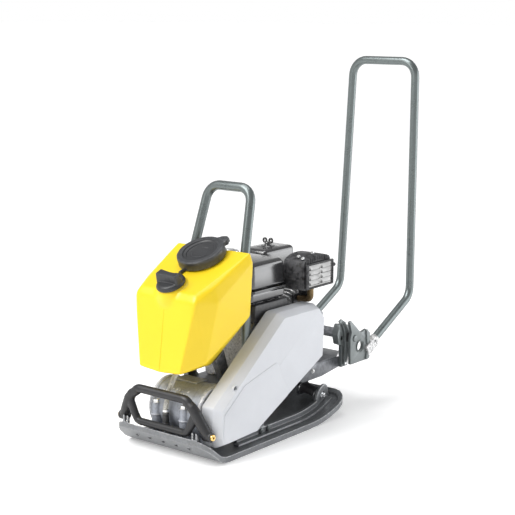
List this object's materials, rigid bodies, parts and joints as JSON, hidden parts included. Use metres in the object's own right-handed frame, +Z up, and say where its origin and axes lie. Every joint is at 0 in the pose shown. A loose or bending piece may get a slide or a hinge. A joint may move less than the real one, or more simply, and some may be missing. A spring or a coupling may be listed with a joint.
{
  "type": "plate compactor",
  "caption": "Walk-behind plate compactor: cast plate with an exciter, belt guard, petrol engine, water tank, lifting bail and a folding guide handle.",
  "frame": {"origin": "in the plane of the flat sole, under the middle of the base plate", "axes": "+Z up; -Y towards the raised front lip, the machine's way of travel; +Y towards the guide handle; +X towards the belt guard"},
  "size_m": [0.3074, 0.919, 0.89],
  "materials": {
    "cast_grey": "painted cast iron, satin, slightly rough",
    "frame_grey": "powder-coated sheet steel, satin",
    "handle_grey": "grey paint on steel tube, semi-gloss",
    "aluminium": "sand-cast and die-cast, matt with fine grain",
    "steel": "zinc-plated and machined",
    "brass": "machined",
    "yellow_plastic": "moulded polyethylene, soft sheen",
    "light_grey_plastic": "moulded, soft sheen",
    "black_plastic": "moulded, fine texture",
    "black_gloss": "gloss black paint on pressed steel",
    "rubber": "matt",
    "hose": "clear flexible hose",
    "heat_tinted_steel": "straw and brown heat tint"
  },
  "bodies": {
    "machine": {"base_plate": "cast_grey", "exciter_housing": "aluminium", "exciter_cover_left": "aluminium", "exciter_cover_right": "aluminium", "exciter_bearing_left": "steel", "exciter_bearing_right": "steel", "exciter_bolt_1": "steel", "exciter_bolt_2": "steel", "exciter_bolt_3": "steel", "exciter_bolt_4": "steel", "front_handle": "black_plastic", "sprinkler_plug_left": "brass", "sprinkler_plug_right": "brass", "hose_elbow": "black_plastic", "water_hose": "hose", "engine_console": "frame_grey", "rubber_mount_front_left": "rubber", "rubber_mount_front_right": "rubber", "rubber_mount_rear_left": "rubber", "rubber_mount_rear_right": "rubber", "water_tank": "yellow_plastic", "lifting_bail": "handle_grey", "crankcase": "aluminium", "engine_cylinder": "aluminium", "valve_cover": "aluminium", "spark_plug": "black_plastic", "carburettor": "aluminium", "air_cleaner_base": "black_plastic", "air_filter_element": "rubber", "blower_housing": "light_grey_plastic", "muffler_body": "black_gloss", "muffler_guard": "steel", "exhaust_pipe": "heat_tinted_steel", "fuel_tank": "black_gloss", "v_belt": "rubber", "belt_guard": "light_grey_plastic", "hinge_axle": "frame_grey"},
    "handle": {"guide_handle": "handle_grey", "pivot_pin_left": "steel", "pivot_pin_right": "steel"},
    "latch": {"handle_latch": "handle_grey"},
    "tank_lid": {"tank_lid": "black_plastic"},
    "water_valve": {"water_valve_knob": "black_plastic"},
    "fuel_cap": {"fuel_cap": "black_plastic"},
    "oil_cap": {"oil_filler_cap": "black_plastic"},
    "air_cleaner_lid": {"air_cleaner_cover": "black_plastic"},
    "air_cleaner_nut": {"air_cleaner_wing_nut": "black_plastic"},
    "starter": {"starter_grip": "black_plastic", "starter_rope": "rubber"},
    "crank": {"crankshaft": "steel", "flywheel_fan": "aluminium", "centrifugal_clutch": "steel"},
    "eccentric": {"eccentric_shaft": "steel", "exciter_pulley": "steel"},
    "throttle": {"throttle_lever": "black_plastic"},
    "choke": {"choke_lever": "black_plastic"},
    "fuel_valve": {"fuel_valve_lever": "black_plastic"},
    "switch": {"engine_switch": "black_plastic"}
  },
  "joints": [
    {"name": "handle_fold", "type": "hinge", "parent": "machine", "child": "handle", "pos_m": [0, 0.336, 0.18], "axis": [1, 0, 0], "range_deg": [0, 80]},
    {"name": "latch_turn", "type": "hinge", "parent": "machine", "child": "latch", "pos_m": [0.101, 0.32, 0.1145], "axis": [1, 0, 0], "range_deg": [0, 25], "stiffness_Nm_per_rad": 0.5, "springref_deg": -17.19},
    {"name": "tank_lid_lift", "type": "slide", "parent": "machine", "child": "tank_lid", "axis": [0, -0.4226, 0.9063], "range_m": [0, 0.06]},
    {"name": "water_valve_turn", "type": "hinge", "parent": "machine", "child": "water_valve", "pos_m": [0, -0.225, 0.392], "axis": [0, -0.4226, 0.9063], "range_deg": [0, 90]},
    {"name": "fuel_cap_turn", "type": "hinge", "parent": "machine", "child": "fuel_cap", "pos_m": [-0.03, 0.012, 0.43], "axis": [0, 0, 1], "range_deg": [0, 90]},
    {"name": "oil_cap_turn", "type": "hinge", "parent": "machine", "child": "oil_cap", "pos_m": [0.045, -0.0353, 0.165], "axis": [0, -1, 0], "range_deg": [0, 90]},
    {"name": "air_cleaner_lift", "type": "slide", "parent": "machine", "child": "air_cleaner_lid", "axis": [0, 0, 1], "range_m": [0, 0.08]},
    {"name": "wing_nut_turn", "type": "hinge", "parent": "air_cleaner_lid", "child": "air_cleaner_nut", "pos_m": [-0.047, 0.184, 0.428], "axis": [0, 0, 1], "continuous": true},
    {"name": "starter_pull", "type": "slide", "parent": "machine", "child": "starter", "axis": [-0.5998, -0.1999, 0.7748], "range_m": [0, 0.4], "stiffness_N_per_m": 20, "springref_m": -0.1, "deforming": ["starter_rope"]},
    {"name": "crank_turn", "type": "hinge", "parent": "machine", "child": "crank", "pos_m": [0, 0.085, 0.235], "axis": [1, 0, 0], "continuous": true},
    {"name": "eccentric_turn", "type": "hinge", "parent": "machine", "child": "eccentric", "pos_m": [0, -0.178, 0.1], "axis": [1, 0, 0], "continuous": true},
    {"name": "throttle_turn", "type": "hinge", "parent": "machine", "child": "throttle", "pos_m": [-0.021, 0.1018, 0.331], "axis": [0, 1, 0], "range_deg": [-30, 30]},
    {"name": "choke_turn", "type": "hinge", "parent": "machine", "child": "choke", "pos_m": [-0.09, 0.15, 0.341], "axis": [1, 0, 0], "range_deg": [0, 40]},
    {"name": "fuel_valve_turn", "type": "hinge", "parent": "machine", "child": "fuel_valve", "pos_m": [-0.09, 0.15, 0.315], "axis": [1, 0, 0], "range_deg": [-40, 0]},
    {"name": "switch_turn", "type": "hinge", "parent": "machine", "child": "switch", "pos_m": [-0.02, -0.0353, 0.236], "axis": [0, -1, 0], "range_deg": [0, 60]}
  ],
  "couplings": [
    {"joint": "eccentric_turn", "follows": "crank_turn", "ratio": 1.1111}
  ]
}
